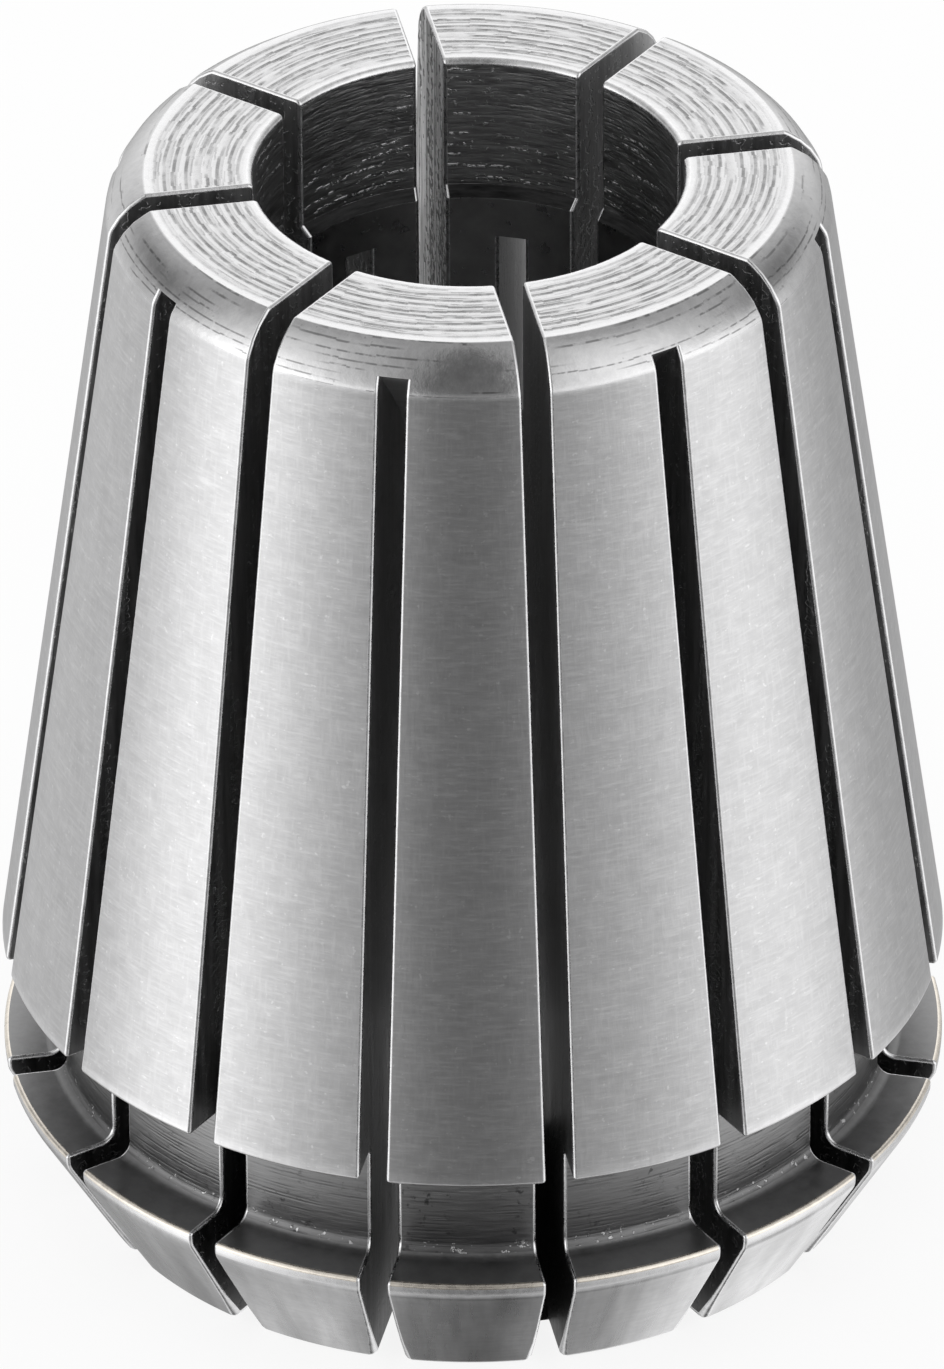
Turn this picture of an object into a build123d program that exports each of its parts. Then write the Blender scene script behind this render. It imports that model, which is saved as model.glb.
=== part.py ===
from build123d import *
import math
import os

# A double-angle spring collet of the ER 32 size, turned and slotted from one
# piece of spring steel.  Millimetres, +Z up.  The origin is the centre of the
# nose face, which the collet stands on, and the bore runs along Z.

# Body
gauge_diameter = 33.0  # largest diameter, where the long taper ends
overall_length = 40.0
taper_half_angle = 8.0  # degrees, seats in the chuck
taper_start = 9.3  # height of the big end of the taper
taper_edge_radius = 0.15  # rounding of the taper's lower edge

# Nose, pressed by the clamping nut
nose_half_angle = 30.0  # degrees
nose_height = 5.2
nose_land = 0.5  # straight band above the nose cone
nose_top_radius = 0.2  # rounding beside the groove
nose_bottom_radius = 0.4  # rounding beside the nose face

# Extraction groove, where the nut's ring holds the collet
groove_depth = 1.9  # below the largest diameter
groove_root_radius = 0.4

# Rear end
crown_height = 1.4  # height of the rounded rim between rear face and taper
crown_width = 1.3  # the rim's width, seen along the axis
crown_bulge = 0.15  # how far the rim stands out from a straight chamfer

# Bore
grip_diameter = 14.0
relief_clearance = 0.35  # between the grip wall and the relief behind it
relief_depth = 5.0
relief_step = 0.35  # height of the cone between relief and grip
rear_bore_chamfer = 0.15
nose_bore_chamfer = 0.5

# Slots, sawn alternately from the rear and from the nose
slots_per_end = 8
slot_width = 0.95
first_rear_slot = 10.3  # degrees from +X
saw_radius = 31.5
saw_overrun = 5.2  # how far the saw's rim passes the grip wall towards the axis
rim_notch_depth = 2.35  # how far a rear slot opens into the nose face's edge
nose_slot_end_drop = 1.0  # below the rear face, where a nose slot ends outside
run_out = 2.0  # how far a saw travels clear of the body

gauge_radius = gauge_diameter / 2
groove_radius = gauge_radius - groove_depth
grip_radius = grip_diameter / 2
relief_radius = grip_radius + relief_clearance
nose_face_radius = gauge_radius - (nose_height - nose_land) * math.tan(math.radians(nose_half_angle))
crown_start = overall_length - crown_height
crown_radius = gauge_radius - (crown_start - taper_start) * math.tan(math.radians(taper_half_angle))
rear_face_radius = crown_radius - crown_width


def turned_blank():
    """The collet as it leaves the lathe and the grinder, before it is slotted."""
    relief_end = overall_length - relief_depth
    nose_face_edge = (nose_face_radius, 0)
    nose_top_edge = (gauge_radius, nose_height)
    groove_root = (groove_radius, nose_height)
    taper_edge = (gauge_radius, taper_start)
    crown_edge = (crown_radius, crown_start)
    rear_face_edge = (rear_face_radius, overall_length)

    outer_line = Polyline(
        (grip_radius + nose_bore_chamfer, 0),
        nose_face_edge,
        (gauge_radius, nose_height - nose_land),
        nose_top_edge,
        groove_root,
        (groove_radius, taper_start),
        taper_edge,
        crown_edge,
    )
    crown_line = SagittaArc(crown_edge, rear_face_edge, -crown_bulge)
    bore_line = Polyline(
        rear_face_edge,
        (relief_radius + rear_bore_chamfer, overall_length),
        (relief_radius, overall_length - rear_bore_chamfer),
        (relief_radius, relief_end),
        (grip_radius, relief_end - relief_step),
        (grip_radius, nose_bore_chamfer),
        (grip_radius + nose_bore_chamfer, 0),
    )
    section = make_face(outer_line + crown_line + bore_line)
    rounded_corners = (
        (nose_face_edge, nose_bottom_radius),
        (nose_top_edge, nose_top_radius),
        (groove_root, groove_root_radius),
        (taper_edge, taper_edge_radius),
    )
    for place, rounding in rounded_corners:
        corner = section.vertices().sort_by_distance(place)[0]
        section = fillet(corner, rounding)
    return revolve(Plane.XZ * section, Axis.Z)


def saw_cut(end_radius, end_height, towards):
    """Space swept by a saw disc whose rim stops at a point of the radial plane.

    The disc stands in the XZ plane, comes from outside the body and travels
    along Z: towards is +1 for a slot open at the rear, -1 for one at the nose.
    """
    axis_radius = grip_radius - saw_overrun + saw_radius
    rim_to_axis = math.sqrt(saw_radius**2 - (axis_radius - end_radius) ** 2)
    axis_height = end_height + towards * rim_to_axis
    travel = overall_length + saw_radius + run_out
    disc = Pos(axis_radius, axis_height) * Circle(saw_radius)
    path = Pos(axis_radius, axis_height + towards * travel / 2) * Rectangle(2 * saw_radius, travel)
    return extrude(Plane.XZ * (disc + path), slot_width / 2, both=True)


def collet_body():
    """The whole collet: the turned blank with its two sets of slots."""
    rear_slot = saw_cut(nose_face_radius - rim_notch_depth, 0, +1)
    share_of_crown = nose_slot_end_drop / crown_height
    nose_slot_end_radius = rear_face_radius + share_of_crown * crown_width
    nose_slot = saw_cut(nose_slot_end_radius, overall_length - nose_slot_end_drop, -1)

    pitch = 360 / slots_per_end
    first_nose_slot = first_rear_slot + pitch / 2
    body = turned_blank()
    for slot, first_angle in ((rear_slot, first_rear_slot), (nose_slot, first_nose_slot)):
        places = PolarLocations(0, slots_per_end, start_angle=first_angle)
        body -= [place * slot for place in places]
    return body


os.makedirs("parts", exist_ok=True)
collet = collet_body()
export_step(collet, "parts/collet_body.step")
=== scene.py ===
"""Looks of a slotted ER collet.

The collet is one piece of spring steel.  Its visible mesh is worked out from
the section that is turned, and from the saw that cuts the sixteen slots, so
that every slot edge has its small deburred round and every surface its own
finish.  Sizes are millimetres until the mesh is made, which is in metres.
"""
import math
from collections import namedtuple
from functools import reduce

import bpy
import numpy as np
from mathutils import Euler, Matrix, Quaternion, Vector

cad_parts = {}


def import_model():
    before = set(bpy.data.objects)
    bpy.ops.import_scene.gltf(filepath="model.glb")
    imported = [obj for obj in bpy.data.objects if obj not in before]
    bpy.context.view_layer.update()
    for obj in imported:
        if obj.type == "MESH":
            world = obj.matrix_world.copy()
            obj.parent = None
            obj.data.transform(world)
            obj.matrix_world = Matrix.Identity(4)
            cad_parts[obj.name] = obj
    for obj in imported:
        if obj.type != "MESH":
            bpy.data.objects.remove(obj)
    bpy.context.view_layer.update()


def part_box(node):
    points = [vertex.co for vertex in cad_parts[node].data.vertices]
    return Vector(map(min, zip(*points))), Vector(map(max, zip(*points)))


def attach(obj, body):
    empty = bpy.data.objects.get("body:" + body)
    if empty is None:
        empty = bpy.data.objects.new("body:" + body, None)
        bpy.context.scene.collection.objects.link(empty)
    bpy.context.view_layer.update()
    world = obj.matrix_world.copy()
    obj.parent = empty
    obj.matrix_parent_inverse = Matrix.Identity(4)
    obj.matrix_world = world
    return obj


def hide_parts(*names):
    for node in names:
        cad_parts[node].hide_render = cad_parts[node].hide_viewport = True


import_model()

MM = 0.001
NODE = "collet_body"

# ------------------------------------------------------------------ sizes

_, high_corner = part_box(NODE)
LENGTH = high_corner.z / MM
GAUGE_RADIUS = 16.5  # the largest, at the foot of the taper
TAPER_START = 9.3  # heights are above the nose face
TAPER_SLOPE = math.tan(math.radians(8))
NOSE_HEIGHT = 5.2
NOSE_LAND = 0.5
NOSE_SLOPE = math.tan(math.radians(30))
GROOVE_RADIUS = 14.6
CROWN_HEIGHT = 1.4
CROWN_WIDTH = 1.3
CROWN_BULGE = 0.15
GRIP_RADIUS = 7.0
RELIEF_RADIUS = 7.35
RELIEF_DEPTH = 5.0
RELIEF_STEP = 0.35
NOSE_CHAMFER = 0.5

SLOTS_PER_END = 8
SLOT_HALF_WIDTH = 0.475
FIRST_REAR_SLOT = math.radians(10.3)
SAW_RADIUS = 31.5
SAW_AXIS_RADIUS = 33.3
RIM_NOTCH_DEPTH = 2.35
NOSE_SLOT_END_DROP = 1.0

# Rounded turns of the section
CHAMFER_TURN = 0.08
TOE_TURN = 0.4
NOSE_TURN = 0.8
LAND_TURN = 0.15
NOSE_ROOT_TURN = 0.5
TAPER_ROOT_TURN = 0.2
CROWN_FOOT_TURN = 1.0
CROWN_TURN = 2.6
FACE_TURN = 0.2
MOUTH_TURN = 0.22
STEP_TURN = 0.05

# Deburred round along every slot edge, and at the toe of the nose
EDGE_ROUND = 0.12
TOE_ROUND = 0.3
TOE_ROUND_POWER = 5  # how late it grows on the way down
TOE_ROUND_WIDTH = 3  # mm outside the bore over which it grows

NOSE_FACE_RADIUS = GAUGE_RADIUS - (NOSE_HEIGHT - NOSE_LAND) * NOSE_SLOPE
CROWN_START = LENGTH - CROWN_HEIGHT
CROWN_RADIUS = GAUGE_RADIUS - (CROWN_START - TAPER_START) * TAPER_SLOPE
REAR_FACE_RADIUS = CROWN_RADIUS - CROWN_WIDTH
RELIEF_END = LENGTH - RELIEF_DEPTH
HALF_SECTOR = math.pi / SLOTS_PER_END  # from a rear slot to the next nose slot

# Mesh fineness
LONGEST_STEP = 1.6  # mm between rows on a straight stretch
ARC_STEP = math.radians(12)
LAND_COLUMNS = 10
ROUND_STEPS = 3
SAW_STEPS = 24
HALVINGS = 50
ON_RIM = 1e-6  # mm from the saw's rim that count as on it
WELD_DIGITS = 4  # of a mm, to which welded points agree

# ---------------------------------------------------------------- section

# The finish is that of the stretch after the corner
Corner = namedtuple("Corner", "radius height rounding finish")

# Out and up are the parts of the outward normal, and the finish is that of
# the strip up to the next row
Row = namedtuple("Row", "radius height out up finish")


def unit(vector):
    return vector / np.linalg.norm(vector)


def outward(direction):
    """Outward normal of a stretch of the section with this direction."""
    return np.array([direction[1], -direction[0]])


def rotated(vector, angle):
    c, s = math.cos(angle), math.sin(angle)
    return np.array([vector[0] * c - vector[1] * s, vector[0] * s + vector[1] * c])


def crown_corner():
    """Where the tangents at both ends of the bulged crown meet."""
    start = np.array([CROWN_RADIUS, CROWN_START])
    end = np.array([REAR_FACE_RADIUS, LENGTH])
    chord = end - start
    half = np.linalg.norm(chord) / 2
    half_turn = 2 * math.atan(CROWN_BULGE / half)
    return (start + end) / 2 + outward(unit(chord)) * half * math.tan(half_turn)


def section_corners():
    """Corners of the turned section, once round from the nose face."""
    crown_radius, crown_height = crown_corner()
    return [
        Corner(GRIP_RADIUS + NOSE_CHAMFER, 0, CHAMFER_TURN, "turned"),
        Corner(NOSE_FACE_RADIUS, 0, TOE_TURN, "nose"),
        Corner(GAUGE_RADIUS, NOSE_HEIGHT - NOSE_LAND, NOSE_TURN, "rim"),
        Corner(GAUGE_RADIUS, NOSE_HEIGHT, LAND_TURN, "flank"),
        Corner(GROOVE_RADIUS, NOSE_HEIGHT, NOSE_ROOT_TURN, "groove"),
        Corner(GROOVE_RADIUS, TAPER_START, TAPER_ROOT_TURN, "flank"),
        Corner(GAUGE_RADIUS, TAPER_START, LAND_TURN, "taper"),
        Corner(CROWN_RADIUS, CROWN_START, CROWN_FOOT_TURN, "crown"),
        Corner(crown_radius, crown_height, CROWN_TURN, "crown"),
        Corner(REAR_FACE_RADIUS, LENGTH, FACE_TURN, "rear_face"),
        Corner(RELIEF_RADIUS, LENGTH, MOUTH_TURN, "relief"),
        Corner(RELIEF_RADIUS, RELIEF_END, STEP_TURN, "step"),
        Corner(GRIP_RADIUS, RELIEF_END - RELIEF_STEP, CHAMFER_TURN, "grip"),
        Corner(GRIP_RADIUS, NOSE_CHAMFER, CHAMFER_TURN, "turned"),
    ]


# Finish of a rounded turn, where it isn't shared by the stretches it joins
TURN_FINISHES = {
    ("rim", "flank"): "straw",
    ("flank", "taper"): "taper",
    ("rear_face", "relief"): "edge",
}


class Turn:
    """A rounded corner, between the stretches before and after it."""

    def __init__(self, previous, corner, following):
        self.corner = corner
        self.finish_before = previous.finish
        self.place = np.array(corner[:2], float)
        self.before = unit(self.place - np.array(previous[:2], float))
        self.after = unit(np.array(following[:2], float) - self.place)
        cross = self.before[0] * self.after[1] - self.before[1] * self.after[0]
        self.angle = math.atan2(cross, self.before @ self.after)
        self.tangent = corner.rounding * math.tan(abs(self.angle) / 2)

    def finish(self, share):
        """Finish this share of the way round."""
        if share == 1:
            return self.corner.finish
        either = self.finish_before if share < 0.5 else self.corner.finish
        return TURN_FINISHES.get((self.finish_before, self.corner.finish), either)

    def rows(self):
        """Rows round the turn."""
        reach = math.copysign(1, self.angle) * self.corner.rounding
        first = outward(self.before)
        centre = self.place - self.before * self.tangent - reach * first
        steps = max(2, math.ceil(abs(self.angle) / ARC_STEP))
        for k in range(steps + 1):
            normal = rotated(first, self.angle * k / steps)
            yield Row(*(centre + reach * normal), *normal, self.finish(k / steps))

    def rows_after(self, following):
        """Rows along the straight stretch up to the following turn."""
        start = self.place + self.after * self.tangent
        end = following.place - self.after * following.tangent
        pieces = max(1, math.ceil(np.linalg.norm(end - start) / LONGEST_STEP))
        for k in range(1, pieces):
            place = start + (end - start) * k / pieces
            yield Row(*place, *outward(self.after), self.corner.finish)


def section_rows():
    """Rows of the mesh along the whole rounded section."""
    corners = section_corners()
    count = len(corners)
    turns = [Turn(corners[i - 1], corners[i], corners[(i + 1) % count]) for i in range(count)]
    rows = []
    for i, turn in enumerate(turns):
        rows += turn.rows()
        rows += turn.rows_after(turns[(i + 1) % count])
    return rows


# ------------------------------------------------------------------ slots


class Saw:
    """The swept saw disc of one kind of slot, in the slot's radial plane.  It
    ends at this radius and height, and is open upwards (towards = 1) or
    downwards (-1)."""

    def __init__(self, end_radius, end_height, towards):
        self.axis_height = end_height + towards * self.reach(end_radius)
        self.towards = towards

    @staticmethod
    def reach(radius):
        """Height from the saw's axis to its rim at a radius."""
        return math.sqrt(SAW_RADIUS**2 - (SAW_AXIS_RADIUS - radius) ** 2)

    def rim_height(self, radius):
        return self.axis_height - self.towards * self.reach(radius)

    def depth(self, radius, height):
        """Above zero where the saw has passed."""
        return self.towards * (height - self.rim_height(radius))

    def normal(self, radius, height):
        """Unit normal of the slot's curved end, towards the open slot."""
        return np.array([SAW_AXIS_RADIUS - radius, self.axis_height - height]) / SAW_RADIUS


def crossing(row, following, saw):
    """The row between two others where the section meets the saw's rim."""
    first = saw.depth(row.radius, row.height)
    low, high = 0.0, 1.0
    for _ in range(HALVINGS):
        middle = (low + high) / 2
        place = [row[j] + (following[j] - row[j]) * middle for j in range(2)]
        if (saw.depth(*place) > 0) == (first > 0):
            low = middle
        else:
            high = middle
    radius, height, out, up = (row[j] + (following[j] - row[j]) * low for j in range(4))
    size = math.hypot(out, up)
    return Row(radius, height, out / size, up / size, row.finish)


def cut_rows(rows, saw):
    """The rows with one more where the section crosses the saw's rim."""
    result = []
    for i, row in enumerate(rows):
        following = rows[(i + 1) % len(rows)]
        result.append(row)
        first = saw.depth(row.radius, row.height)
        second = saw.depth(following.radius, following.height)
        if first * second < 0 and min(abs(first), abs(second)) > ON_RIM:
            result.append(crossing(row, following, saw))
    return result


class Skin:
    """Vertices, faces and exact corner normals of one half sector, from the
    middle of a rear slot to the middle of the next nose slot."""

    def __init__(self):
        self.points = []
        self.faces = []
        self.normals = []
        self.finishes = []

    def point(self, place):
        self.points.append(place)
        return len(self.points) - 1

    def face(self, corners, normals, finish):
        self.faces.append(corners)
        self.normals.append(normals)
        self.finishes.append(finish)

    def turned_normal(self, index, row):
        """Normal of the turned surface at a point of a row."""
        x, y, _ = self.points[index]
        radius = math.hypot(x, y)
        return np.array([x / radius * row.out, y / radius * row.out, row.up])


class Side:
    """One slot's side of the half sector.  Its vectors are radial, across
    the slot from its middle plane into the land, and up."""

    def __init__(self, angle, sense):
        self.angle = angle
        self.sense = sense

    def vector(self, radial, across, height):
        """A vector of the slot's frame, in the half sector's frame."""
        c, s = math.cos(self.angle), math.sin(self.angle)
        y = across * self.sense
        return np.array([radial * c - y * s, radial * s + y * c, height])

    def in_plane(self, pair):
        """A vector of the slot's middle plane, in the half sector's frame."""
        return self.vector(pair[0], 0.0, pair[1])

    def on_circle(self, radius, across, height):
        return self.vector(math.sqrt(radius**2 - across**2), across, height)


def edge_round(radius, height):
    """Round on a slot's edge: larger towards the toe of the nose."""
    outer = min(max((radius - RELIEF_RADIUS) / TOE_ROUND_WIDTH, 0), 1)
    low = min(max(1 - height / (NOSE_HEIGHT - NOSE_LAND), 0), 1)
    return EDGE_ROUND + (TOE_ROUND - EDGE_ROUND) * outer * low**TOE_ROUND_POWER


class SlotSide:
    """Skin of one side of a slot.  The web is where the saw hasn't passed,
    and the end rows, where the section meets the saw's rim, belong both to
    the web and to the open slot."""

    WEB_OFFSETS = (0.0, SLOT_HALF_WIDTH / 2, SLOT_HALF_WIDTH)

    def __init__(self, skin, rows, saw, side, land_edge):
        self.skin = skin
        self.rows = rows
        self.saw = saw
        self.side = side
        self.land_edge = land_edge
        depths = [saw.depth(row.radius, row.height) for row in rows]
        self.at_end = [abs(d) < ON_RIM for d in depths]
        self.is_open = [d > -ON_RIM for d in depths]
        self.is_web = [d < ON_RIM for d in depths]
        ends = [i for i, at_end in enumerate(self.at_end) if at_end]
        self.start = next(i for i in ends if self.at_end[i - 1] or not self.is_open[i - 1])
        self.stop = next(i for i in ends if i != self.start)
        places = range(len(rows))
        self.web = {i: self.web_points(rows[i]) for i in places if self.is_web[i]}
        self.sinking = {i: self.way_in(i) for i in places if self.is_open[i]}
        self.rounds = {i: self.round_points(i) for i in self.sinking}
        self.round_normals = {i: self.normals_round(i) for i in self.sinking}

    def web_points(self, row):
        return [self.skin.point(self.side.on_circle(row.radius, y, row.height)) for y in self.WEB_OFFSETS]

    def way_in(self, i):
        """Way into the material at a row, in the slot's plane."""
        row = self.rows[i]
        surface = np.array([row.out, row.up])
        if not self.at_end[i]:
            return -surface
        along = -outward(self.saw.normal(row.radius, row.height))
        return -along if along @ surface > 0 else along

    def round_angle(self, k):
        return math.pi / 2 * k / ROUND_STEPS

    def round_points(self, i):
        """Points of a row's edge round, from the land to the flank."""
        row = self.rows[i]
        rounding = edge_round(row.radius, row.height)
        points = [self.land_edge[i]]
        for k in range(1, ROUND_STEPS + 1):
            angle = self.round_angle(k)
            across = SLOT_HALF_WIDTH + rounding * (1 - math.sin(angle))
            sunk = rounding * (1 - math.cos(angle))
            radial = math.sqrt(row.radius**2 - across**2) + self.sinking[i][0] * sunk
            height = row.height + self.sinking[i][1] * sunk
            points.append(self.skin.point(self.side.vector(radial, across, height)))
        return points

    def normals_round(self, i):
        """Normals of a row's edge round, from the land to the flank."""
        row = self.rows[i]
        surface = self.side.in_plane((row.out, row.up))
        inwards = self.side.vector(0, 1, 0)
        normals = [self.skin.turned_normal(self.land_edge[i], row)]
        for k in range(1, ROUND_STEPS + 1):
            angle = self.round_angle(k)
            normals.append(surface * math.cos(angle) - inwards * math.sin(angle))
        return normals

    def face(self, corners, normals, finish, flip=False):
        """A face that is listed as it shows on the rear slot's side."""
        if (self.side.sense < 0) != flip:
            corners = corners[::-1]
            normals = normals[::-1]
        self.skin.face(corners, normals, finish)

    def strip(self, first, second, first_normals, second_normals, finish):
        """Quads between two rows of points that run away from the slot."""
        for k in range(len(first) - 1):
            corners = [first[k], first[k + 1], second[k + 1], second[k]]
            normals = [first_normals[k], first_normals[k + 1], second_normals[k + 1], second_normals[k]]
            self.face(corners, normals, finish)

    def web_strip(self, i, j):
        first, second = (self.web[k] + [self.land_edge[k]] for k in (i, j))
        first_normals = [self.skin.turned_normal(p, self.rows[i]) for p in first]
        second_normals = [self.skin.turned_normal(p, self.rows[j]) for p in second]
        self.strip(first, second, first_normals, second_normals, self.rows[i].finish)

    def round_strip(self, i, j):
        first, second = self.rounds[i][::-1], self.rounds[j][::-1]
        self.strip(first, second, self.round_normals[i][::-1], self.round_normals[j][::-1], "edge")

    def strips(self):
        """Web and edge rounds along the whole section."""
        for i in range(len(self.rows)):
            j = (i + 1) % len(self.rows)
            if self.is_web[i] and self.is_web[j]:
                self.web_strip(i, j)
            if self.is_open[i] and self.is_open[j] and not (self.at_end[i] and self.at_end[j]):
                self.round_strip(i, j)

    def sunk_radius(self, i):
        """Radius at which an end row's edge round meets the flank."""
        row = self.rows[i]
        return row.radius + self.sinking[i][0] * edge_round(row.radius, row.height)

    def saw_line(self, radius, flank_point):
        """Points across the curved end, up to the flank."""
        height = self.saw.rim_height(radius)
        line = [self.skin.point(self.side.vector(radius, y, height)) for y in self.WEB_OFFSETS[:-1]]
        if flank_point is None:
            flank_point = self.skin.point(self.side.vector(radius, SLOT_HALF_WIDTH, height))
        return line + [flank_point]

    def curved_end(self):
        """The curved end that the saw's rim leaves.  Gives its lines."""
        radii = np.linspace(self.sunk_radius(self.start), self.sunk_radius(self.stop), SAW_STEPS)
        known = {0: self.rounds[self.start][-1], SAW_STEPS - 1: self.rounds[self.stop][-1]}
        lines = [self.saw_line(radius, known.get(k)) for k, radius in enumerate(radii)]
        lines = [self.web[self.start], *lines, self.web[self.stop]]
        places = [(radius, self.saw.rim_height(radius)) for radius in radii]
        places = [self.rows[self.start][:2], *places, self.rows[self.stop][:2]]
        normals = [self.side.in_plane(self.saw.normal(*place)) for place in places]
        for k in range(len(lines) - 1):
            self.strip(lines[k], lines[k + 1], [normals[k]] * 3, [normals[k + 1]] * 3, "sawn")
        for end, normal, flip in ((self.start, normals[0], False), (self.stop, normals[-1], True)):
            corners = [self.web[end][-1]] + self.rounds[end]
            self.face(corners, [normal] * len(corners), "sawn", flip)
        return lines

    def flank(self, lines):
        """Flank: round the open part of the section, then back along the
        saw's rim."""
        count = len(self.rows)
        steps = (self.stop - self.start) % count
        outline = [self.rounds[(self.start + k) % count][-1] for k in range(steps + 1)]
        outline += [line[-1] for line in lines[2:-2]][::-1]
        self.face(outline, [self.side.vector(0, -1, 0)] * len(outline), "sawn")

    def build(self):
        self.strips()
        self.flank(self.curved_end())


def land_lines(skin, rows):
    """Points across the land between two slots, one line for each row."""
    lines = []
    for row in rows:
        edge = math.asin((SLOT_HALF_WIDTH + edge_round(row.radius, row.height)) / row.radius)
        angles = np.linspace(edge, HALF_SECTOR - edge, LAND_COLUMNS + 1)
        lines.append([
            skin.point(np.array([row.radius * math.cos(a), row.radius * math.sin(a), row.height]))
            for a in angles
        ])
    return lines


def half_sector():
    """The whole skin between the middles of two neighbouring slots."""
    rear_saw = Saw(NOSE_FACE_RADIUS - RIM_NOTCH_DEPTH, 0, 1)
    crown_share = NOSE_SLOT_END_DROP / CROWN_HEIGHT
    nose_saw = Saw(REAR_FACE_RADIUS + crown_share * CROWN_WIDTH, LENGTH - NOSE_SLOT_END_DROP, -1)
    rows = cut_rows(cut_rows(section_rows(), rear_saw), nose_saw)
    skin = Skin()
    land = land_lines(skin, rows)
    for i, row in enumerate(rows):
        j = (i + 1) % len(rows)
        for k in range(LAND_COLUMNS):
            corners = [land[i][k], land[i][k + 1], land[j][k + 1], land[j][k]]
            at_rows = [row, row, rows[j], rows[j]]
            normals = [skin.turned_normal(p, r) for p, r in zip(corners, at_rows)]
            skin.face(corners, normals, row.finish)
    SlotSide(skin, rows, rear_saw, Side(0.0, 1), [line[0] for line in land]).build()
    SlotSide(skin, rows, nose_saw, Side(HALF_SECTOR, -1), [line[-1] for line in land]).build()
    return skin


def collet_mesh(finishes):
    """The whole collet, from sixteen half sectors welded along the middle
    planes of the slots, with exact normals at every face corner."""
    skin = half_sector()
    base = np.array(skin.points)
    points, faces, normals, kinds = [], [], [], []
    for n in range(SLOTS_PER_END):
        turn = FIRST_REAR_SLOT + n * 2 * HALF_SECTOR
        c, s = math.cos(turn), math.sin(turn)
        for mirror in (1, -1):
            matrix = np.array([[c, -s * mirror, 0], [s, c * mirror, 0], [0, 0, 1]])
            offset = len(points) * len(base)
            points.append(base @ matrix.T)
            for corners, corner_normals, finish in zip(skin.faces, skin.normals, skin.finishes):
                faces.append([offset + p for p in corners[::mirror]])
                normals.append([matrix @ v for v in corner_normals[::mirror]])
                kinds.append(finish)
    points = np.vstack(points)
    keys = np.round(points, WELD_DIGITS) + 0.0  # no minus zeros
    _, first, welded = np.unique(keys, axis=0, return_index=True, return_inverse=True)
    welded = welded.reshape(-1)
    mesh = bpy.data.meshes.new("collet")
    mesh.from_pydata((points[first] * MM).tolist(), [], [[int(welded[p]) for p in f] for f in faces])
    for material in finishes.values():
        mesh.materials.append(material)
    names = list(finishes)
    mesh.polygons.foreach_set("material_index", [names.index(kind) for kind in kinds])
    mesh.polygons.foreach_set("use_smooth", [True] * len(faces))
    mesh.normals_split_custom_set([tuple(unit(v)) for group in normals for v in group])
    mesh.update()
    return mesh


# -------------------------------------------------------------- materials

STEEL_TINT = (0.995, 0.993, 1.0)
STRAW_TINT = (1.0, 0.93, 0.83)

# Most of a noise's values are between these
NOISE_LOW = 0.3
NOISE_HIGH = 0.7

# Turned lines: how far they stray and step, in pitches, and how they break
LINE_STRAY = 0.3
LINE_STRAY_SCALE = 0.8
LINE_STEP_REACH = 0.2
LINE_STEP = 0.13
LINE_BLUR = 0.4  # share of the half width
LINE_SPREAD = 3.37  # noise units from one line to the next
LINE_STEP_SPREAD = 40.0  # noise units from its breaks to its steps
LINE_LUCK_TOP = 0.72
LINE_LUCK_RANGE = 0.44
LINE_LUCK_BLUR = 0.03

# One rear slot, two on from the first, is torn and pitted, with painted light that makes it bright
WORN_AND_LIT_SLOT = FIRST_REAR_SLOT + 2 * 2 * HALF_SECTOR
WORN_AND_LIT_START = math.radians(9)
WORN_AND_LIT_END = math.radians(11)

RoundPlace = namedtuple("RoundPlace", "radius azimuth z place")


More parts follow.
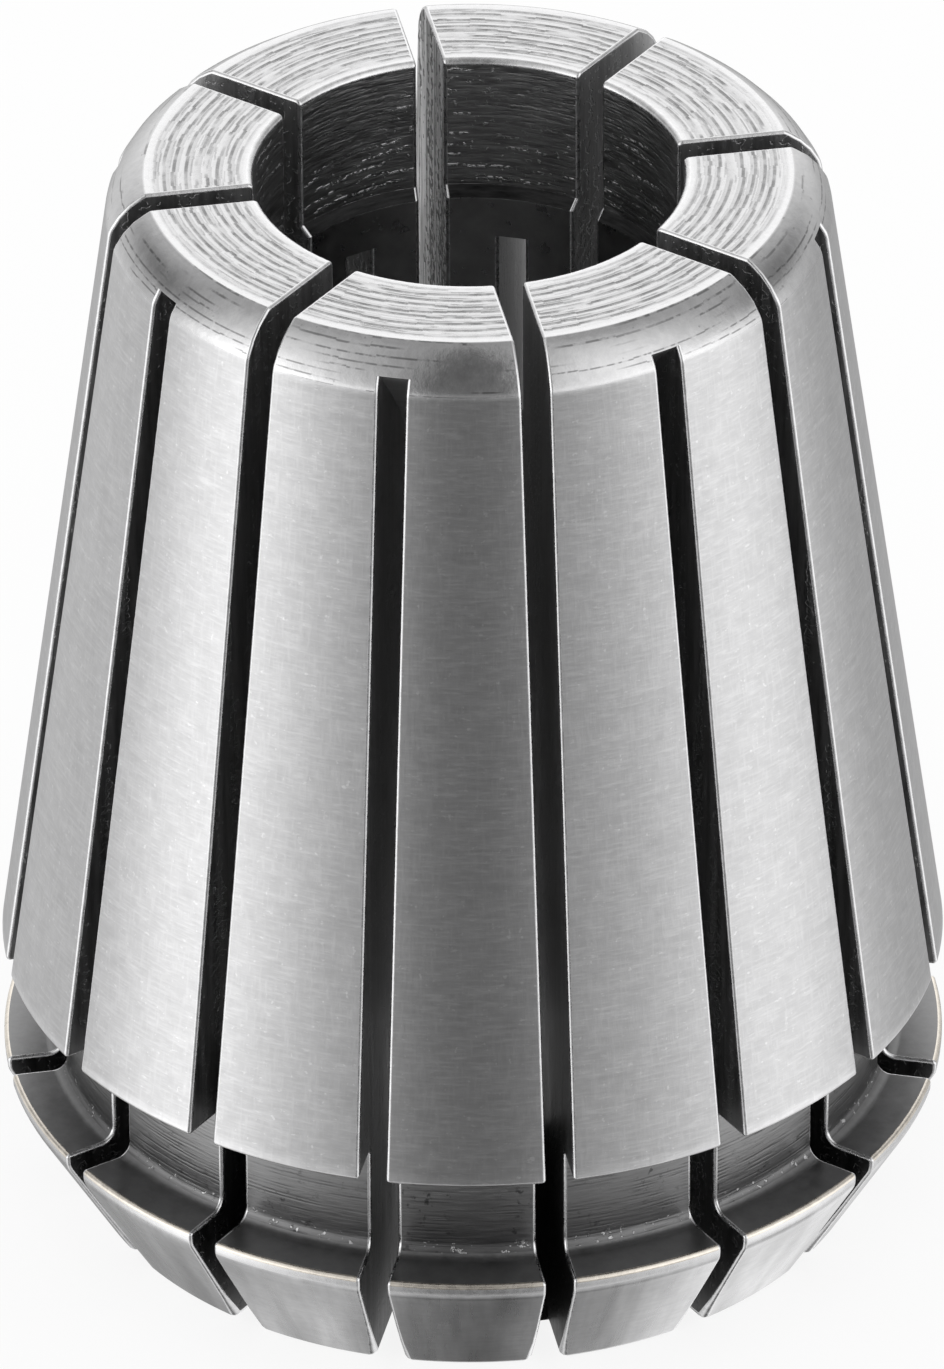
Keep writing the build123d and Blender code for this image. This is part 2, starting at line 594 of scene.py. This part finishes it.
class Nodes:
    """A short way to build the node tree of a material or the world."""

    def __init__(self, owner):
        owner.use_nodes = True
        self.tree = owner.node_tree
        self.tree.nodes.clear()

    def add(self, kind, **settings):
        node = self.tree.nodes.new(kind)
        for name, value in settings.items():
            setattr(node, name, value)
        return node

    def wire(self, source, target):
        self.tree.links.new(source, target)

    def feed(self, node, name, value):
        """Sets a socket to a number or wires it to another node's output."""
        socket = node.inputs[name]
        if isinstance(value, bpy.types.NodeSocket):
            self.wire(value, socket)
        else:
            socket.default_value = value

    def math(self, operation, *values):
        node = self.add("ShaderNodeMath", operation=operation)
        for i, value in enumerate(values):
            self.feed(node, i, value)
        return node.outputs[0]

    def sum(self, *values):
        return reduce(lambda a, b: self.math("ADD", a, b), values)

    def product(self, *values):
        return reduce(lambda a, b: self.math("MULTIPLY", a, b), values)

    def largest(self, *values):
        return reduce(lambda a, b: self.math("MAXIMUM", a, b), values)

    def difference(self, value, less):
        return self.math("SUBTRACT", value, less)

    def object_place(self):
        """Coordinates in mm from the object's own origin."""
        place = self.add("ShaderNodeTexCoord").outputs["Object"]
        scale = self.add("ShaderNodeVectorMath", operation="SCALE")
        self.wire(place, scale.inputs[0])
        scale.inputs["Scale"].default_value = 1 / MM
        return scale.outputs[0]

    def parts(self, vector):
        node = self.add("ShaderNodeSeparateXYZ")
        self.wire(vector, node.inputs[0])
        return tuple(node.outputs)

    def vector(self, x, y, z):
        node = self.add("ShaderNodeCombineXYZ")
        for i, value in enumerate((x, y, z)):
            self.feed(node, i, value)
        return node.outputs[0]

    def round_place(self):
        """Radius, azimuth (radians) and height on the collet, and the plain
        place, in mm."""
        place = self.object_place()
        x, y, z = self.parts(place)
        radius = self.math("SQRT", self.sum(self.product(x, x), self.product(y, y)))
        return RoundPlace(radius, self.math("ARCTAN2", y, x), z, place)

    def noise(self, vector, scale, detail, roughness):
        """Noise with spots about 1/scale units of the vector wide."""
        node = self.add("ShaderNodeTexNoise")
        self.wire(vector, node.inputs["Vector"])
        node.inputs["Scale"].default_value = scale
        node.inputs["Detail"].default_value = detail
        node.inputs["Roughness"].default_value = roughness
        return node.outputs["Fac"]

    def ring_noise(self, azimuth, around, third, detail, roughness):
        """Noise without a seam round the axis: around is its units for each
        radian, and third its coordinate along the axis."""
        across = self.product(self.math("COSINE", azimuth), around)
        along = self.product(self.math("SINE", azimuth), around)
        return self.noise(self.vector(across, along, third), 1.0, detail, roughness)

    def ramp(self, value, *stops):
        """Maps a value through (place, brightness) stops."""
        node = self.add("ShaderNodeValToRGB")
        for element, (place, bright) in zip(node.color_ramp.elements, stops):
            element.position = place
            element.color = (bright, bright, bright, 1)
        self.wire(value, node.inputs[0])
        return node.outputs["Color"]

    def span(self, value, low, high, to_low, to_high):
        """Maps low..high to to_low..to_high, and stays there beyond."""
        node = self.add("ShaderNodeMapRange")
        self.wire(value, node.inputs["Value"])
        limits = {"From Min": low, "From Max": high, "To Min": to_low, "To Max": to_high}
        for name, number in limits.items():
            node.inputs[name].default_value = number
        return node.outputs["Result"]

    def vary(self, noise, low, high):
        """A value that a noise varies between two limits."""
        return self.span(noise, NOISE_LOW, NOISE_HIGH, low, high)

    def blend(self, share, without, full):
        """From one value without a mark to another where it is full."""
        return self.span(share, 0.0, 1.0, without, full)

    def grey(self, value, tint):
        """A tinted grey of varying brightness."""
        node = self.add("ShaderNodeVectorMath", operation="SCALE")
        node.inputs[0].default_value = tint
        self.wire(value, node.inputs["Scale"])
        return node.outputs[0]

    def bump(self, height, distance):
        """Normals of a relief that is this deep, in mm."""
        node = self.add("ShaderNodeBump")
        self.wire(height, node.inputs["Height"])
        node.inputs["Strength"].default_value = 1.0
        node.inputs["Distance"].default_value = distance * MM
        return node.outputs["Normal"]

    def mix(self, share, first, second):
        """Shader between two others."""
        node = self.add("ShaderNodeMixShader")
        self.feed(node, 0, share)
        self.wire(first, node.inputs[1])
        self.wire(second, node.inputs[2])
        return node.outputs[0]

    def mirrored(self, path):
        """1 for what metal and glass see, otherwise 0."""
        return self.largest(path.outputs["Is Glossy Ray"], path.outputs["Is Transmission Ray"])


def metal(name, build):
    """A steel finish: build() gives the inputs of one metallic shader."""
    material = bpy.data.materials.new(name)
    nodes = Nodes(material)
    shader = nodes.add("ShaderNodeBsdfPrincipled")
    shader.inputs["Metallic"].default_value = 1.0
    for socket, value in build(nodes).items():
        nodes.feed(shader, socket, value)
    output = nodes.add("ShaderNodeOutputMaterial")
    nodes.wire(shader.outputs[0], output.inputs["Surface"])
    return material


def steel(n, bright, roughness, relief, depth, tint=STEEL_TINT):
    """Shader inputs of steel with a relief this many mm deep."""
    return {
        "Base Color": n.grey(bright, tint),
        "Roughness": roughness,
        "Normal": n.bump(relief, depth),
    }


def turned_lines(n, position, azimuth, pitch, width, patches, share):
    """Tool marks one pitch apart along a position in mm, stepped and broken
    round the axis.  About this share of them is there, each patch about
    1/patches radians long.  Gives the line, and the place within the pitch
    from -0.5 to 0.5."""
    stray = n.ring_noise(azimuth, LINE_STRAY_SCALE, 0.0, 0.0, 0.5)
    turns = n.sum(n.math("DIVIDE", position, pitch), n.vary(stray, -LINE_STRAY, LINE_STRAY))
    level = n.product(n.math("ROUND", turns), LINE_SPREAD)
    step = n.ring_noise(azimuth, patches, n.sum(level, LINE_STEP_SPREAD), 1.0, 0.5)
    turns = n.sum(turns, n.math("SNAP", n.vary(step, -LINE_STEP_REACH, LINE_STEP_REACH), LINE_STEP))
    within = n.difference(turns, n.math("ROUND", turns))
    half = width / pitch / 2
    line = n.span(n.math("ABSOLUTE", within), half * (1 - LINE_BLUR), half * (1 + LINE_BLUR), 1.0, 0.0)
    luck = n.ring_noise(azimuth, patches, level, 2.0, 0.6)
    limit = LINE_LUCK_TOP - share * LINE_LUCK_RANGE
    there = n.span(luck, limit - LINE_LUCK_BLUR, limit + LINE_LUCK_BLUR, 0.0, 1.0)
    return n.product(line, there), within


def grain_round(n, at, fineness, length):
    """Fine grain that runs round the axis, this many mm long."""
    return n.ring_noise(at.azimuth, GAUGE_RADIUS / length, n.product(at.z, fineness), 3.0, 0.65)


def ground_taper(n):
    """Cylindrically ground: satin, with a fine grain, short lines up the
    taper, light nicks and specks, and a painted highlight at its foot."""
    at = n.round_place()
    grain = grain_round(n, at, fineness=9.0, length=0.9)
    long_grain = grain_round(n, at, fineness=4.0, length=6.0)
    nicks = n.ramp(grain_round(n, at, fineness=5.0, length=0.45), (0.63, 0.0), (0.74, 1.0))
    hatch = grain_round(n, at, fineness=1.1, length=1 / 6)
    mottle = n.noise(at.place, 1.3, 3.0, 0.6)
    specks = n.ramp(n.noise(at.place, 4.6, 2.0, 0.5), (0.68, 0.0), (0.74, 1.0))
    lines = n.largest(n.span(hatch, 0.5, 0.68, 0.0, 1.0), n.span(grain, 0.5, 0.68, 0.0, 1.0))
    # painted highlight: the taper is lighter just above its foot, where light catches it
    painted_foot_highlight = n.span(at.z, TAPER_START + 0.1, TAPER_START + 0.55, 1.25, 1.0)
    bright = n.sum(
        n.vary(grain, 0.60, 0.65),
        n.vary(long_grain, -0.02, 0.02),
        n.vary(mottle, -0.03, 0.03),
        n.product(n.sum(nicks, specks), 0.14),
        n.product(lines, 0.055),
    )
    relief = n.sum(grain, n.product(hatch, 0.5))
    return steel(n, n.product(bright, painted_foot_highlight), n.vary(grain, 0.28, 0.31), relief, depth=0.006)


def faced_rear(n):
    """Faced end: stepped dark rings between two smooth bright bands, and
    painted shading that grows lighter across each pitch, as on lit steps.
    """
    at = n.round_place()
    rings, within = turned_lines(n, at.radius, at.azimuth, pitch=0.37, width=0.10, patches=3.4, share=0.75)
    fine, _ = turned_lines(n, at.radius, at.azimuth, pitch=0.185, width=0.05, patches=6.0, share=0.45)
    outer = n.span(at.radius, REAR_FACE_RADIUS - 0.5, REAR_FACE_RADIUS - 0.15, 1.0, 0.0)
    inner = n.span(at.radius, RELIEF_RADIUS + 0.25, RELIEF_RADIUS + 0.6, 0.0, 1.0)
    cover = n.product(outer, inner)
    mottle = n.noise(at.place, 3.4, 4.0, 0.75)
    worn = n.span(n.noise(at.place, 1.3, 3.0, 0.6), 0.35, 0.6, 0.45, 1.0)
    marks = n.product(n.largest(n.product(rings, worn), n.product(fine, 0.4)), cover)
    # painted shading: each ring's pitch grows lighter across it, as light falls on stepped cuts
    painted_step_shading = n.product(within, n.product(cover, 0.16))
    bright = n.product(n.sum(n.vary(mottle, 0.65, 0.77), painted_step_shading), n.blend(marks, 1.0, 0.46))
    bright = n.sum(bright, n.blend(cover, 0.08, -0.07))
    relief = n.sum(n.product(marks, -1.0), n.product(mottle, 0.5))
    return steel(n, bright, n.vary(mottle, 0.24, 0.34), relief, depth=0.018)


def polished_crown(n):
    """Polished between taper and rear face, with a few fine turned lines."""
    at = n.round_place()
    lines, _ = turned_lines(n, at.z, at.azimuth, pitch=0.2, width=0.045, patches=2.2, share=0.46)
    mottle = n.noise(at.place, 2.4, 4.0, 0.7)
    specks = n.ramp(n.noise(at.place, 3.6, 2.0, 0.5), (0.24, 1.0), (0.29, 0.0))
    broken = n.span(n.noise(at.place, 3.0, 2.0, 0.6), 0.4, 0.5, 0.2, 1.0)
    marks = n.largest(n.product(lines, broken), n.product(specks, 0.5))
    bright = n.product(n.blend(marks, 0.66, 0.30), n.vary(mottle, 0.92, 1.08))
    return steel(n, bright, n.vary(mottle, 0.13, 0.2), mottle, depth=0.008)


def rough_groove(n):
    """Turned groove floor: dark, finely ridged round the axis and pitted,
    with bright crumbs in the root at the nose, and painted shade that
    darkens it towards the nose."""
    at = n.round_place()
    ridges, _ = turned_lines(n, at.z, at.azimuth, pitch=0.15, width=0.07, patches=5.0, share=0.5)
    grain = grain_round(n, at, fineness=8.0, length=1.4)
    worn = n.noise(at.place, 0.45, 2.0, 0.5)
    ridges = n.product(ridges, n.span(worn, 0.4, 0.6, 0.3, 1.0))
    pits = n.ramp(n.noise(at.place, 3.4, 3.0, 0.6), (0.3, 1.0), (0.4, 0.0))
    pits = n.product(pits, n.span(worn, 0.45, 0.6, 0.1, 1.0))
    root = n.span(at.z, NOSE_HEIGHT + 0.4, NOSE_HEIGHT + 0.6, 1.0, 0.0)
    # painted shade: the groove darker towards its corner at the nose
    shade = n.span(at.z, NOSE_HEIGHT + 0.7, TAPER_START - 0.6, 0.62, 1.0)
    crumbs = n.ramp(n.noise(at.place, 5.0, 2.0, 0.5), (0.62, 0.0), (0.68, 1.0))
    crumbs = n.product(crumbs, root)
    bright = n.product(n.sum(n.vary(grain, 0.29, 0.37), n.product(ridges, -0.07)), shade)
    bright = n.product(n.sum(bright, n.product(crumbs, 0.4)), n.blend(pits, 1.0, 0.4))
    relief = n.sum(n.product(ridges, -0.5), n.sum(grain, crumbs))
    return steel(n, bright, n.vary(grain, 0.3, 0.42), relief, depth=0.014)


def smooth_flank(n):
    """Sides of the groove: smoothly turned and dull, painted dark grey for the
    groove's shade, with painted light towards the outer edge.
    """
    at = n.round_place()
    mottle = n.noise(at.place, 2.2, 4.0, 0.6)
    # painted light: lighter towards the outer edge, out of the groove's shade
    outer = n.span(at.radius, GROOVE_RADIUS + 0.6, GAUGE_RADIUS, 0.0, 0.07)
    bright = n.sum(n.vary(mottle, 0.23, 0.29), outer)
    return steel(n, bright, n.vary(mottle, 0.36, 0.44), mottle, depth=0.006)


def nose_cone(n):
    """Ground nose: satin, with streaks and clouds that run up the cone, a
    faint grain round it and a painted highlight band below the land."""
    at = n.round_place()
    streaks = n.ring_noise(at.azimuth, GAUGE_RADIUS * 1.6, n.product(at.z, 0.25), 3.0, 0.6)
    clouds = n.ring_noise(at.azimuth, GAUGE_RADIUS * 0.45, n.product(at.z, 0.15), 2.0, 0.5)
    grain = grain_round(n, at, fineness=8.0, length=1.2)
    mottle = n.noise(at.place, 2.6, 4.0, 0.7)
    below_land = NOSE_HEIGHT - NOSE_LAND
    bright = n.product(
        n.vary(streaks, 0.57, 0.69),
        n.vary(mottle, 0.94, 1.06),
        n.span(clouds, 0.35, 0.65, 0.74, 1.14),
        n.vary(grain, 0.95, 1.05),
        # painted highlight: a brighter band just below the land
        n.span(at.z, below_land - 0.5, below_land, 1.0, 1.15),
    )
    relief = n.sum(n.product(streaks, 0.4), clouds)
    return steel(n, bright, n.vary(streaks, 0.26, 0.3), relief, depth=0.01)


def sawn_flank(n):
    """Slot walls: dark with faint streaks and painted shade towards the nose,
    and in the one worn slot bright with painted light, strong streaks and
    rows of pits."""
    at = n.round_place()

    def streaked(radial, shift, axial, detail, roughness):
        place = n.vector(n.product(at.radius, radial), shift, n.product(at.z, axial))
        return n.noise(place, 1.0, detail, roughness)

    # worn and lit slot: real pits and streaks, and painted light that brightens its walls
    worn = n.span(n.math("ABSOLUTE", n.difference(at.azimuth, WORN_AND_LIT_SLOT)), WORN_AND_LIT_START, WORN_AND_LIT_END, 1.0, 0.0)
    streaks = streaked(2.6, 0.0, 0.16, 4.0, 0.75)
    rows = streaked(1.8, 3.0, 0.08, 2.0, 0.5)
    holes = streaked(3.0, 0.0, 3.4, 2.0, 0.5)
    pits = n.ramp(n.sum(holes, n.span(rows, 0.4, 0.6, -0.1, 0.12)), (0.40, 1.0), (0.43, 0.0))
    # painted shade: the slot walls darker towards the nose
    shade = n.span(at.z, NOSE_HEIGHT, TAPER_START + 2, 0.22, 1.0)
    plain = n.product(n.span(streaks, 0.32, 0.68, 0.3, 0.5), shade)
    rough = n.product(n.span(streaks, 0.42, 0.56, 0.14, 1.0), n.blend(pits, 1.0, 0.03))
    bright = n.sum(plain, n.product(worn, n.difference(rough, plain)))
    relief = n.product(n.difference(streaks, pits), n.sum(worn, 0.3))
    return steel(n, bright, n.vary(streaks, 0.32, 0.5), relief, depth=0.04)


def rough_relief(n):
    """Bored relief behind the grip: dark, finely ridged, with painted glints
    on a few beaded ridges in clusters."""
    at = n.round_place()
    ridges, _ = turned_lines(n, at.z, at.azimuth, pitch=0.42, width=0.1, patches=4.0, share=0.45)
    beads = n.ramp(n.noise(at.place, 6.5, 2.0, 0.5), (0.47, 0.0), (0.57, 1.0))
    grain = grain_round(n, at, fineness=9.0, length=2.4)
    specks = n.ramp(n.noise(at.place, 5.0, 2.0, 0.5), (0.66, 0.0), (0.72, 1.0))
    clusters = n.span(n.noise(at.place, 0.16, 1.0, 0.5), 0.42, 0.56, 0.12, 1.0)
    # painted glints: bright beads along the ridges and scattered specks
    glints = n.product(n.largest(n.product(ridges, beads), n.product(specks, 0.6)), clusters)
    bright = n.sum(n.vary(grain, 0.22, 0.44), n.product(glints, 0.6))
    relief = n.sum(n.product(glints, 1.5), grain)
    return steel(n, bright, n.vary(grain, 0.3, 0.45), relief, depth=0.04)


def honed_grip(n):
    """Gripping bore: smooth, fine and dark."""
    at = n.round_place()
    grain = grain_round(n, at, fineness=8.0, length=2.0)
    mottle = n.noise(at.place, 1.2, 4.0, 0.6)
    return steel(n, n.vary(mottle, 0.3, 0.38), n.vary(mottle, 0.25, 0.35), grain, depth=0.005)


def step_in_painted_shade(n):
    """Cone between relief and grip: dull, and painted nearly black for the
    shade deep in the bore.
    """
    grain = grain_round(n, n.round_place(), fineness=9.0, length=2.4)
    # painted shade: a base colour near black
    return steel(n, n.vary(grain, 0.015, 0.05), n.vary(grain, 0.4, 0.5), grain, depth=0.01)


def plain_turned(n):
    """Nose face and its chamfer: plainly turned."""
    at = n.round_place()
    rings, _ = turned_lines(n, at.radius, at.azimuth, pitch=0.3, width=0.1, patches=3.0, share=0.5)
    mottle = n.noise(at.place, 1.5, 4.0, 0.6)
    bright = n.product(n.vary(mottle, 0.54, 0.64), n.blend(rings, 1.0, 0.75))
    return steel(n, bright, n.vary(mottle, 0.25, 0.35), n.product(rings, -1.0), depth=0.01)


def rubbed_edge_and_highlight(n, low, high, depth, tint):
    """A nicked edge with its brightness between two limits, set high for a
    painted highlight.
    """
    nicks = n.noise(n.object_place(), 2.5, 4.0, 0.7)
    bright = n.span(nicks, 0.35, 0.65, low, high)
    return steel(n, bright, n.vary(nicks, 0.22, 0.34), nicks, depth, tint)


def bright_edge(n):
    """Deburred slot edges and the mouth of the bore: rubbed, and painted
    bright as a highlight.
    """
    return rubbed_edge_and_highlight(n, 0.76, 0.94, 0.012, STEEL_TINT)


def straw_edge(n):
    """Edge between rim and groove: painted bright as a highlight, with a
    breath of straw.
    """
    return rubbed_edge_and_highlight(n, 0.8, 1.0, 0.01, STRAW_TINT)


def plain_rim(n):
    """Narrow cylinder between groove and nose cone, with a painted highlight
    that brightens it towards its top.
    """
    at = n.round_place()
    mottle = n.noise(at.place, 2.6, 4.0, 0.7)
    # painted highlight: lighter towards the rim's top
    painted_top_highlight = n.span(at.z, NOSE_HEIGHT - NOSE_LAND, NOSE_HEIGHT - 0.12, 0.72, 1.0)
    bright = n.product(painted_top_highlight, n.span(mottle, 0.35, 0.65, 0.92, 1.0))
    return steel(n, bright, n.vary(mottle, 0.22, 0.32), mottle, depth=0.008)


FINISHES = {
    "taper": ground_taper,
    "rear_face": faced_rear,
    "crown": polished_crown,
    "groove": rough_groove,
    "flank": smooth_flank,
    "nose": nose_cone,
    "sawn": sawn_flank,
    "relief": rough_relief,
    "grip": honed_grip,
    "step": step_in_painted_shade,
    "turned": plain_turned,
    "edge": bright_edge,
    "rim": plain_rim,
    "straw": straw_edge,
}


def show(name, data):
    """A new object in the scene."""
    piece = bpy.data.objects.new(name, data)
    bpy.context.scene.collection.objects.link(piece)
    return piece


def collet():
    """The one visible piece."""
    finishes = {name: metal(f"steel_{name}", build) for name, build in FINISHES.items()}
    piece = show("collet", collet_mesh(finishes))
    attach(piece, "root")
    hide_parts(NODE)


# ----------------------------------------------------------------- camera

IMAGE_HEIGHT = 1369  # pixels
FOCAL_PIXELS = 16000
SENSOR = 36.0
CLIP_START = 0.05  # metres
CLIP_END = 20
CAMERA_BACK = 465.460
CAMERA_HEIGHT = 322.539
CAMERA_SIDE = 0.021
CAMERA_DIP = math.radians(33.0987)
CAMERA_ROLL = math.radians(-0.301)


def camera():
    """Seen from the front and above, from far away."""
    data = bpy.data.cameras.new("camera")
    data.sensor_width = SENSOR
    data.lens = FOCAL_PIXELS * SENSOR / IMAGE_HEIGHT
    data.clip_start = CLIP_START
    data.clip_end = CLIP_END
    piece = show("camera", data)
    piece.location = (CAMERA_SIDE * MM, -CAMERA_BACK * MM, CAMERA_HEIGHT * MM)
    level = Euler((math.pi / 2 - CAMERA_DIP, 0, 0)).to_quaternion()
    piece.rotation_mode = "QUATERNION"
    piece.rotation_quaternion = level @ Quaternion((0, 0, 1), CAMERA_ROLL)
    bpy.context.scene.camera = piece


# ----------------------------------------------------------------- studio


class SoftBox:
    """A broad soft light in the studio dome.  Azimuth is from the front,
    positive to the right, and height is above the horizon, in degrees."""

    def __init__(self, azimuth, width, strength, height, tall):
        self.azimuth = math.radians(azimuth)
        self.width = math.radians(width)
        self.strength = strength
        self.height = math.radians(height)
        self.tall = math.radians(tall)


SOFT_BOXES = (
    SoftBox(azimuth=-72, width=28, strength=1.4, height=-16, tall=36),
    SoftBox(azimuth=80, width=31, strength=1.18, height=-16, tall=36),
    SoftBox(azimuth=48, width=28, strength=0.95, height=27, tall=24),
    SoftBox(azimuth=-62, width=30, strength=0.85, height=22, tall=24),
    SoftBox(azimuth=65, width=34, strength=0.55, height=57, tall=22),
    SoftBox(azimuth=-75, width=34, strength=0.42, height=55, tall=22),
    SoftBox(azimuth=180, width=42, strength=1.2, height=26, tall=34),
    SoftBox(azimuth=-125, width=50, strength=0.85, height=-74, tall=12),
    SoftBox(azimuth=-134, width=26, strength=0.55, height=-18, tall=18),
    SoftBox(azimuth=147, width=34, strength=1.2, height=-57, tall=19),
)
DOME_LEVEL = 0.42

# A low band of light all round, weaker behind
HORIZON_GLOW = 0.65
HORIZON_GLOW_BEHIND = HORIZON_GLOW * 0.2
HORIZON_HEIGHT = math.radians(6)
HORIZON_TALL = math.radians(10)
HORIZON_END = math.radians(70)
HORIZON_SOFT = math.radians(28)

# A dark flag on each side, just behind the collet
FLAG_AZIMUTH = math.radians(116)
FLAG_WIDTH = math.radians(24)
FLAG_HEIGHT = math.radians(22)
FLAG_TALL = math.radians(15)
FLAG_DEPTH = 0.6

# Darkness straight below, and a dark strip in front
NADIR_LEVEL = 0.17
NADIR_START = math.radians(-68)
NADIR_SOFT = math.radians(16)
SHADE_WIDTH = math.radians(17)
SHADE_SOFT = math.radians(5)
SHADE_LEVEL = 0.36

# A low light in front, seen by the nose
LOW_FRONT_HEIGHT = math.radians(-56)
LOW_FRONT_TALL = math.radians(12)
LOW_FRONT_LEVEL = 0.45
LOW_FRONT_START = math.radians(60)
LOW_FRONT_END = math.radians(90)

WHITE = (1, 1, 1)
PLAIN_LEVEL = 1.0


def studio_light(n, direction):
    """Strength of the studio dome in a direction."""
    x, y, z = n.parts(direction)
    azimuth = n.math("ARCTAN2", x, n.product(y, -1.0))
    height = n.math("ARCSINE", z)
    side = n.math("ABSOLUTE", azimuth)

    def away(value, middle, width):
        """Square of the distance from a middle, in widths."""
        offset = n.math("DIVIDE", n.difference(value, middle), width)
        return n.product(offset, offset)

    def glow(*squares):
        """1 in the middle, and fading softly away from it."""
        return n.math("EXPONENT", n.product(n.sum(*squares), -1.0))

    total = DOME_LEVEL
    for box in SOFT_BOXES:
        turn = n.math("WRAP", n.difference(azimuth, box.azimuth), math.pi, -math.pi)
        light = glow(away(turn, 0.0, box.width), away(height, box.height, box.tall))
        total = n.sum(total, n.product(light, box.strength))
    horizon = glow(away(height, HORIZON_HEIGHT, HORIZON_TALL))
    reach = n.span(side, HORIZON_END, HORIZON_END + HORIZON_SOFT, HORIZON_GLOW, HORIZON_GLOW_BEHIND)
    total = n.sum(total, n.product(horizon, reach))
    shade = n.span(side, SHADE_WIDTH - SHADE_SOFT, SHADE_WIDTH + SHADE_SOFT, SHADE_LEVEL, 1.0)
    nadir = n.span(height, NADIR_START - NADIR_SOFT, NADIR_START, NADIR_LEVEL, 1.0)
    flags = glow(away(side, FLAG_AZIMUTH, FLAG_WIDTH), away(height, FLAG_HEIGHT, FLAG_TALL))
    flags = n.difference(1.0, n.product(flags, FLAG_DEPTH))
    low_front = glow(away(height, LOW_FRONT_HEIGHT, LOW_FRONT_TALL))
    ahead = n.span(side, LOW_FRONT_START, LOW_FRONT_END, LOW_FRONT_LEVEL, 0.0)
    return n.sum(n.product(total, shade, nadir, flags), n.product(low_front, ahead))


def world():
    """White to the camera, the studio dome to steel and glass, and a plain
    light of the same white to everything dull."""
    scene_world = bpy.data.worlds.new("studio")
    bpy.context.scene.world = scene_world
    n = Nodes(scene_world)
    direction = n.add("ShaderNodeTexCoord").outputs["Generated"]
    dome = n.add("ShaderNodeBackground")
    n.wire(studio_light(n, direction), dome.inputs["Strength"])
    plain = n.add("ShaderNodeBackground")
    plain.inputs["Color"].default_value = (*WHITE, 1)
    plain.inputs["Strength"].default_value = PLAIN_LEVEL
    path = n.add("ShaderNodeLightPath")
    seen = n.mix(n.mirrored(path), plain.outputs[0], dome.outputs[0])
    output = n.add("ShaderNodeOutputWorld")
    n.wire(seen, output.inputs["Surface"])


FLOOR_SIZE = 3.0  # metres
FLOOR_WHITE = 1.0
FLOOR_PAINT = (0.93, 0.95)  # darkest and brightest
FLOOR_DROP = 0.01  # mm below the nose face
FLOOR_SHOWS = 0.13  # share of the floor's own light and shadow that the camera sees


def floor_paint():
    """White paint: the camera sees it white with the collet's faint shadow,
    and the steel mirrors the studio's lower half through it."""
    material = bpy.data.materials.new("floor")
    n = Nodes(material)
    clouds = n.noise(n.object_place(), 0.02, 2.0, 0.5)
    paint = n.add("ShaderNodeBsdfDiffuse")
    n.wire(n.grey(n.vary(clouds, *FLOOR_PAINT), WHITE), paint.inputs["Color"])
    white = n.add("ShaderNodeEmission")
    white.inputs["Strength"].default_value = FLOOR_WHITE
    clear = n.add("ShaderNodeBsdfTransparent")
    path = n.add("ShaderNodeLightPath")
    seen = n.mix(FLOOR_SHOWS, white.outputs[0], paint.outputs[0])
    by_camera = n.mix(path.outputs["Is Camera Ray"], paint.outputs[0], seen)
    by_steel = n.mix(n.mirrored(path), by_camera, clear.outputs[0])
    output = n.add("ShaderNodeOutputMaterial")
    n.wire(by_steel, output.inputs["Surface"])
    return material


def floor():
    """A plain floor just below the nose face."""
    mesh = bpy.data.meshes.new("floor")
    half = FLOOR_SIZE / 2
    drop = -FLOOR_DROP * MM
    corners = [(-half, -half, drop), (half, -half, drop), (half, half, drop), (-half, half, drop)]
    mesh.from_pydata(corners, [], [(0, 1, 2, 3)])
    mesh.materials.append(floor_paint())
    show("floor", mesh)


bpy.context.scene.view_settings.view_transform = "Standard"
collet()
camera()
world()
floor()
